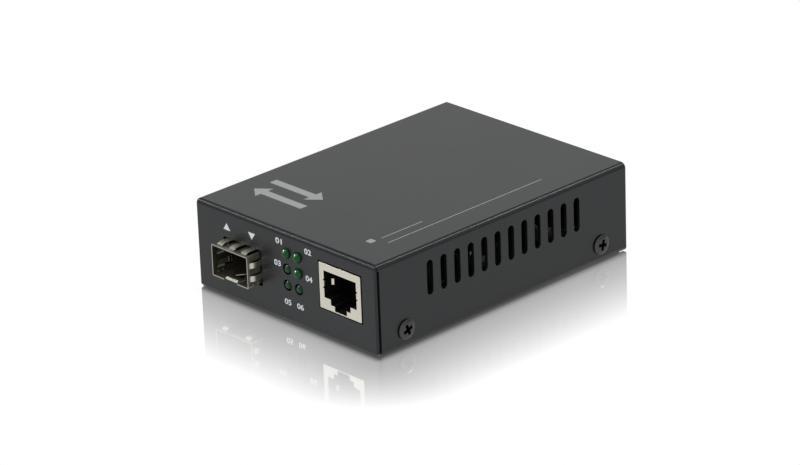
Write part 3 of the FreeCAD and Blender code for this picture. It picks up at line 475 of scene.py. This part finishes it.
BAND, BAND_TRIM = 0.7 * MM, 0.03 * MM
FINGER_GAUGE = 0.1 * MM
WIDE_BREADTH, NARROW_BREADTH = 2.1, 1.6  # millimetres, as in the two arches
WIDE_PITCH, NARROW_PITCH = 4.75 * MM, 3.85 * MM
# Run back from the band, and rise above the cage wall, in millimetres.
WIDE_ARCH = ((-0.1, 0.0), (0.2, 0.05), (0.5, 0.25), (0.8, 0.42), (1.15, 0.53), (1.6, 0.59), (2.3, 0.62),
             (3.2, 0.6), (4.1, 0.53), (4.8, 0.38), (5.3, 0.2), (5.6, 0.06))
NARROW_ARCH = ((-0.1, 0.0), (0.25, 0.07), (0.6, 0.24), (1.0, 0.42), (1.45, 0.54), (1.9, 0.57), (2.4, 0.53),
               (3.1, 0.43), (4.0, 0.33), (4.8, 0.3), (5.3, 0.18), (5.6, 0.06))


def collar_finger(arch, breadth, roll, x, z):
    """One arched finger: a slip of sheet extruded along its arch, rolled to its wall of the cage."""
    bpy.ops.object.select_all(action="DESELECT")
    bpy.ops.mesh.primitive_plane_add(size=1.0)
    strip = bpy.context.object
    start, rise = arch[0]
    slip = Matrix.Diagonal((breadth * MM, FINGER_GAUGE, 1.0, 1.0))
    place(strip, Matrix.Translation((0, start * MM, rise * MM + FINGER_GAUGE / 2)) @ UPRIGHT @ slip)
    bpy.ops.object.mode_set(mode="EDIT")
    bpy.ops.mesh.select_all(action="SELECT")
    for (y0, z0), (y1, z1) in zip(arch, arch[1:]):
        onward = (0, (y1 - y0) * MM, (z1 - z0) * MM)
        bpy.ops.mesh.extrude_region_move(TRANSFORM_OT_translate={"value": onward})
    bpy.ops.mesh.select_all(action="SELECT")
    bpy.ops.mesh.normals_make_consistent(inside=False)
    bpy.ops.object.mode_set(mode="OBJECT")
    seat = Matrix.Translation((x, rim_y + BAND, z))
    return place(strip, seat @ Matrix.Rotation(math.radians(roll), 4, "Y"))


def spring_collar():
    """The band round the mouth, cut off where its own fingers start, with smoother fingers."""
    band = merged_copy("sfp_spring_collar", "collar")
    bpy.ops.object.mode_set(mode="EDIT")
    bpy.ops.mesh.select_all(action="SELECT")
    bpy.ops.mesh.bisect(plane_co=(0, rim_y + BAND - BAND_TRIM, 0), plane_no=(0, 1, 0), use_fill=True,
                        clear_outer=True, threshold=1e-6)
    bpy.ops.mesh.select_all(action="SELECT")
    bpy.ops.mesh.normals_make_consistent(inside=False)
    bpy.ops.object.mode_set(mode="OBJECT")
    middle_z = (cage_top + cage_bottom) / 2
    fingers = []
    for roll, wall_z, row in ((0.0, cage_top, (-1, 0, 1)), (180.0, cage_bottom, (-1, 1))):
        fingers += [collar_finger(WIDE_ARCH, WIDE_BREADTH, roll, cage_middle_x + k * WIDE_PITCH, wall_z)
                    for k in row]
    for z in (middle_z - NARROW_PITCH / 2, middle_z + NARROW_PITCH / 2):
        for side in (1, -1):
            wall_x = cage_middle_x + side * cage_half_width
            fingers.append(collar_finger(NARROW_ARCH, NARROW_BREADTH, 90.0 * side, wall_x, z))
    collar = joined([band] + fingers, "collar")
    finish(collar, COLLAR, smooth=32.0)
    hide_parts("sfp_spring_collar")


spring_collar()


# ---- indicator lights -------------------------------------------------------------------------

LENS_R = 1.48 * MM
FLANGE_THICKNESS = 0.9 * MM
DOME_STEPS = 10


def light(node):
    """Lens of a light: flange, round body and dome."""
    low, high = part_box(node)
    length = high[1] - low[1]
    flange_r = (high[0] - low[0]) / 2
    profile = [(0.0, flange_r), (FLANGE_THICKNESS, flange_r), (FLANGE_THICKNESS + 1e-6, LENS_R),
               (length - LENS_R, LENS_R)]
    for step in range(1, DOME_STEPS):
        angle = math.pi / 2 * step / DOME_STEPS
        profile.append((length - LENS_R + LENS_R * math.sin(angle), LENS_R * math.cos(angle)))
    profile.append((length, 0.05 * MM))
    lens = turned("lens_" + node[4:], profile, 48)
    middle = middle_of(node)
    place(lens, Matrix.Translation((middle.x, high[1], middle.z)) @ UPRIGHT)
    finish(lens, EPOXY)
    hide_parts(node)


for node in LIGHT_NODES:
    light(node)


# ---- cover screws -----------------------------------------------------------------------------

HEAD_LIFT = screw_hi[0] - side_x
SHANK_R = 1.5 * MM
RECESS = (4.5 * MM, 1.15 * MM, 2.4 * MM)  # length, width and height of a wing of the cross
SCREW_TURNS = 21.0, -11.0, 38.0, 5.0


def recess_wing(spin):
    """One wing of the cross recess: a bar that narrows downwards."""
    bpy.ops.object.select_all(action="DESELECT")
    bpy.ops.mesh.primitive_cube_add(size=1.0)
    wing = bpy.context.object
    place(wing, Matrix.Diagonal((*RECESS, 1.0)))
    bpy.ops.object.mode_set(mode="EDIT")
    bpy.ops.mesh.select_all(action="DESELECT")
    bpy.ops.object.mode_set(mode="OBJECT")
    for face in wing.data.polygons:
        face.select = face.normal.z < -0.9
    bpy.ops.object.mode_set(mode="EDIT")
    bpy.ops.transform.resize(value=(0.5, 0.75, 1.0), center_override=(0, 0, 0))
    bpy.ops.object.mode_set(mode="OBJECT")
    turn = Matrix.Rotation(math.radians(spin), 4, "Z")
    return place(wing, Matrix.Translation((0, 0, HEAD_LIFT + 0.1 * MM)) @ turn)


def screw_head(turn):
    """Low pan head with a rounded crown and a cross recess, on a stub of its shank."""
    profile = [(-2.3 * MM, SHANK_R), (0.0, SHANK_R), (1e-6, SCREW_HEAD_R - 0.3 * MM),
               (0.16 * MM, SCREW_HEAD_R), (0.4 * MM, SCREW_HEAD_R), (0.58 * MM, 2.62 * MM),
               (0.72 * MM, 2.2 * MM), (HEAD_LIFT, 1.4 * MM), (HEAD_LIFT, 0.2 * MM)]
    head = turned("screw", profile)
    for spin in (turn, turn + 90.0):
        wing = recess_wing(spin)
        only(head)
        cut = head.modifiers.new("recess", "BOOLEAN")
        cut.operation = "DIFFERENCE"
        cut.solver = "EXACT"
        cut.object = wing
        bpy.ops.object.modifier_apply(modifier=cut.name)
        bpy.data.objects.remove(wing)
    return head


def cover_screws():
    """The four screws in the sides, each turned as it came to rest."""
    places = [(side, y) for side in (1, -1) for y in (-screw_y, screw_y)]
    heads = []
    for (side, y), turn in zip(places, SCREW_TURNS):
        outward = Matrix.Rotation(math.radians(90.0 * side), 4, "Y")
        heads.append(place(screw_head(turn), Matrix.Translation((side * side_x, y, screw_z)) @ outward))
    screws = joined(heads, "cover_screw_set")
    finish(screws, SCREW_BLACK, smooth=30.0)
    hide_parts("cover_screws")


cover_screws()


# ---- print on the front and the top -----------------------------------------------------------

PRINT_THICKNESS = 0.012 * MM
ON_FRONT = Matrix.Translation((0, front_y, 0)) @ UPRIGHT
ON_TOP = Matrix.Translation((0, 0, top_z))
NUMBER_HEIGHT = 1.65
# Left edge and lower edge from the middle of the number's light, and width, in millimetres.
NUMBERS = (("01", "led_upper_left", -4.1, 1.95, 2.5), ("02", "led_upper_right", 2.85, 1.95, 2.6),
           ("03", "led_middle_left", -5.0, 0.02, 2.6), ("04", "led_middle_right", 2.9, -1.18, 2.6),
           ("05", "led_lower_left", -1.5, -5.76, 2.6), ("06", "led_lower_right", -1.0, -5.76, 2.6))
ARROW_BREADTH, ARROW_LENGTH = 2.6 * MM, 20 * MM


def slab(name, outline, material, seat):
    """Thin slab of ink, from an outline of flat points, laid on its seat."""
    bpy.ops.object.select_all(action="DESELECT")
    bpy.ops.mesh.primitive_circle_add(vertices=len(outline), radius=1.0, fill_type="NGON")
    piece = bpy.context.object
    piece.name = name
    for vertex, (x, y) in zip(piece.data.vertices, outline):
        vertex.co = (x, y, 0.0)
    bpy.ops.object.mode_set(mode="EDIT")
    bpy.ops.mesh.select_all(action="SELECT")
    bpy.ops.mesh.extrude_region_move(TRANSFORM_OT_translate={"value": (0, 0, PRINT_THICKNESS)})
    bpy.ops.mesh.select_all(action="SELECT")
    bpy.ops.mesh.normals_make_consistent(inside=False)
    bpy.ops.object.mode_set(mode="OBJECT")
    finish(place(piece, seat), material)


def number(figures, node, left, bottom, width):
    """A number as a thin slab of ink on the front panel, drawn out to its width and height."""
    bpy.ops.object.select_all(action="DESELECT")
    bpy.ops.object.text_add(location=(0, 0, 0))
    piece = bpy.context.object
    piece.data.body = figures
    piece.data.size = 1.0
    piece.data.offset = 0.022
    piece.data.extrude = 0.01
    bpy.ops.object.convert(target="MESH")
    bpy.ops.object.mode_set(mode="EDIT")
    bpy.ops.mesh.select_all(action="SELECT")
    bpy.ops.mesh.remove_doubles(threshold=1e-5)
    bpy.ops.mesh.normals_make_consistent(inside=False)
    bpy.ops.object.mode_set(mode="OBJECT")
    corners = [Vector(corner) for corner in piece.bound_box]
    low = Vector([min(corner[k] for corner in corners) for k in range(3)])
    high = Vector([max(corner[k] for corner in corners) for k in range(3)])
    size = high - low
    fit = Matrix.Diagonal((width * MM / size.x, NUMBER_HEIGHT * MM / size.y, PRINT_THICKNESS / size.z, 1.0))
    place(piece, fit @ Matrix.Translation(-low))
    middle = middle_of(node)
    return place(piece, ON_FRONT @ Matrix.Translation((middle.x + left * MM, middle.z + bottom * MM, 0)))


def arrowhead(name, x, way):
    """Small triangle over the fibre cage: up for 1, down for -1."""
    middle_z, half_height, half_width = collar_hi[2] + 3.28 * MM, 1.0 * MM, 1.4 * MM
    base = middle_z - way * half_height
    slab(name, [(x - half_width, base), (x + half_width, base), (x, middle_z + way * half_height)],
         WHITE_INK, ON_FRONT)


def arrow(name, tail, way, y):
    """Block arrow along X, to the right for 1, to the left for -1."""
    tip = tail + way * ARROW_LENGTH
    neck = tip - way * ARROW_BREADTH * 1.6
    shaft, wing = ARROW_BREADTH / 2, ARROW_BREADTH * 1.3
    slab(name, [(tail, y - shaft), (neck, y - shaft), (neck, y - wing), (tip, y),
                (neck, y + wing), (neck, y + shaft), (tail, y + shaft)], GREY_INK, ON_TOP)


def bar(name, aside, behind, width, length):
    """Straight bar on the top, so many millimetres from the right-hand side and the front."""
    x, y = side_x - aside * MM, front_y + behind * MM
    right, rear = x + width * MM, y + length * MM
    slab(name, [(x, y), (right, y), (right, rear), (x, rear)], GREY_INK, ON_TOP)


arrow("top_arrow_right", cover_lo[0] + 7.5 * MM, 1, front_y + 22 * MM)
arrow("top_arrow_left", cover_lo[0] + 27.5 * MM, -1, front_y + 15 * MM)
bar("top_dot", 14.5, 10.2, 2.1, 2.1)
bar("top_rule_long", 9.35, 13.5, 0.3, 58.0)
bar("top_rule_short", 12.85, 14.5, 0.3, 15.0)
finish(joined([number(*row) for row in NUMBERS], "light_numbers"), WHITE_INK)
arrowhead("mark_out", cage_middle_x - 5.95 * MM, 1)
arrowhead("mark_in", cage_middle_x + 4.05 * MM, -1)


# ---- floor, light and camera ------------------------------------------------------------------

ROOM_LEVEL = 0.6  # light of the room on the object
# What gloss and metal mirror, and where it changes, as parts of a direction of length 1.
WALL_LEVEL, CEILING_LEVEL = 1.0, 0.12
WALL_TOP, DARK_CORNER, CORNER_TOP = (0.47, 0.64), (0.1, 0.35), (0.16, 0.30)
LAMPS = (("key", 6.0, 0.8, (-0.12, -0.50, 1.12)),
         ("left strip", 1.9, 0.17, (-0.80, -0.47, 0.76)),
         ("right strip", 2.5, 0.17, (0.23, 0.76, 0.90)))
FLOOR_GAP = 0.02 * MM
MIRROR_REACH, FOOT_REACH, SHADOW_REACH = 30 * MM, 3 * MM, 7 * MM
AZIMUTH, ELEVATION, ROLL = 46.824, 23.247, -2.112
CAMERA_SPOT = (0.733645, -0.693271, 0.444174)


def pictured(look):
    """1 for the rays that show the room itself: straight from the camera, mirrored, or through glass."""
    seen = [look.node("ShaderNodeLightPath", output=ray)
            for ray in ("Is Camera Ray", "Is Glossy Ray", "Is Transmission Ray")]
    return seen[0].above(seen[1]).above(seen[2])


def pale_floor():
    """White floor, with a soft shadow and a fading mirror image at the foot of the box."""
    look = Look("pale floor")
    look.feed(look.shader.inputs["Base Color"], (0.8, 0.8, 0.8, 1.0))
    aside = (abs(look.axis("X")) - side_x).above(0.0)
    ahead = (abs(look.axis("Y")) - cover_hi[1]).above(0.0)
    away = span(aside, ahead)
    foot = 0.33 * (1.0 - look.step(away, -0.1 * FOOT_REACH, FOOT_REACH))
    reach = 0.6 * (1.0 - (away / MIRROR_REACH) ** 1.5).above(0.0)
    grazing = look.node("ShaderNodeLayerWeight", {}, {"Blend": 0.5}, output="Facing")
    mirror = (foot + reach) * look.step(grazing, 0.44, 0.56)
    closeness = look.node("ShaderNodeAmbientOcclusion", {"samples": 16}, {"Distance": SHADOW_REACH},
                          output="AO")
    glow = look.node("ShaderNodeEmission", {}, {"Strength": 0.8 + 0.2 * look.step(closeness, 0.45, 0.95)})
    gloss = look.node("ShaderNodeBsdfGlossy", {}, {"Color": (1.0, 1.0, 1.0, 1.0), "Roughness": 0.05})
    picture = look.node("ShaderNodeMixShader", {}, {0: mirror, 1: glow, 2: gloss})
    plain = Value(look, look.shader.outputs[0])
    both = look.node("ShaderNodeMixShader", {}, {0: pictured(look), 1: plain, 2: picture})
    look.feed(look.tree.nodes["Material Output"].inputs["Surface"], both)
    return look.material


def white_room():
    """White all round: pale walls, a dark ceiling and two dark low corners in what metal and gloss mirror."""
    world = bpy.data.worlds.new("white room")
    bpy.context.scene.world = world
    world.use_nodes = True
    room = WorldLook(world)
    background = world.node_tree.nodes["Background"]
    height = room.axis("Z")
    corners = (room.step(room.axis("X") * room.axis("Y"), *DARK_CORNER)
               * (1.0 - room.step(height, *CORNER_TOP)))
    wall = (1.0 - corners) * (1.0 - room.step(height, *WALL_TOP))
    mirrored = CEILING_LEVEL + (WALL_LEVEL - CEILING_LEVEL) * wall
    level = ROOM_LEVEL + pictured(room) * (mirrored - ROOM_LEVEL)
    direct = room.node("ShaderNodeLightPath", output="Is Camera Ray")
    room.feed(background.inputs["Color"], (1.0, 1.0, 1.0, 1.0))
    room.feed(background.inputs["Strength"], level + direct * (1.0 - level))


def floor():
    bpy.ops.object.select_all(action="DESELECT")
    bpy.ops.mesh.primitive_plane_add(size=6.0, location=(0, 0, -FLOOR_GAP))
    ground = bpy.context.object
    ground.name = "floor"
    ground.data.materials.append(pale_floor())


def lamps():
    for name, energy, size, spot in LAMPS:
        lamp = bpy.data.lights.new(name, "AREA")
        lamp.energy = energy
        lamp.size = size
        holder = bpy.data.objects.new(name, lamp)
        bpy.context.scene.collection.objects.link(holder)
        holder.location = spot
        holder.rotation_mode = "QUATERNION"
        holder.rotation_quaternion = (-Vector(spot)).to_track_quat("-Z", "Y")


def camera():
    azimuth, elevation, roll = (math.radians(angle) for angle in (AZIMUTH, ELEVATION, ROLL))
    back = Vector((math.sin(azimuth) * math.cos(elevation), -math.cos(azimuth) * math.cos(elevation),
                   math.sin(elevation)))
    right = (-back).cross(Vector((0, 0, 1))).normalized()
    up = back.cross(right)
    tilted_right = math.cos(roll) * right + math.sin(roll) * up
    tilted_up = -math.sin(roll) * right + math.cos(roll) * up
    data = bpy.data.cameras.new("camera")
    data.lens = 180.09
    data.sensor_width = 36.0
    data.clip_start, data.clip_end = 0.05, 20.0
    holder = bpy.data.objects.new("camera", data)
    bpy.context.scene.collection.objects.link(holder)
    turn = Matrix((tilted_right, tilted_up, back)).transposed().to_4x4()
    holder.matrix_world = Matrix.Translation(CAMERA_SPOT) @ turn
    bpy.context.scene.camera = holder


bpy.context.scene.view_settings.view_transform = "Standard"
white_room()
floor()
lamps()
camera()
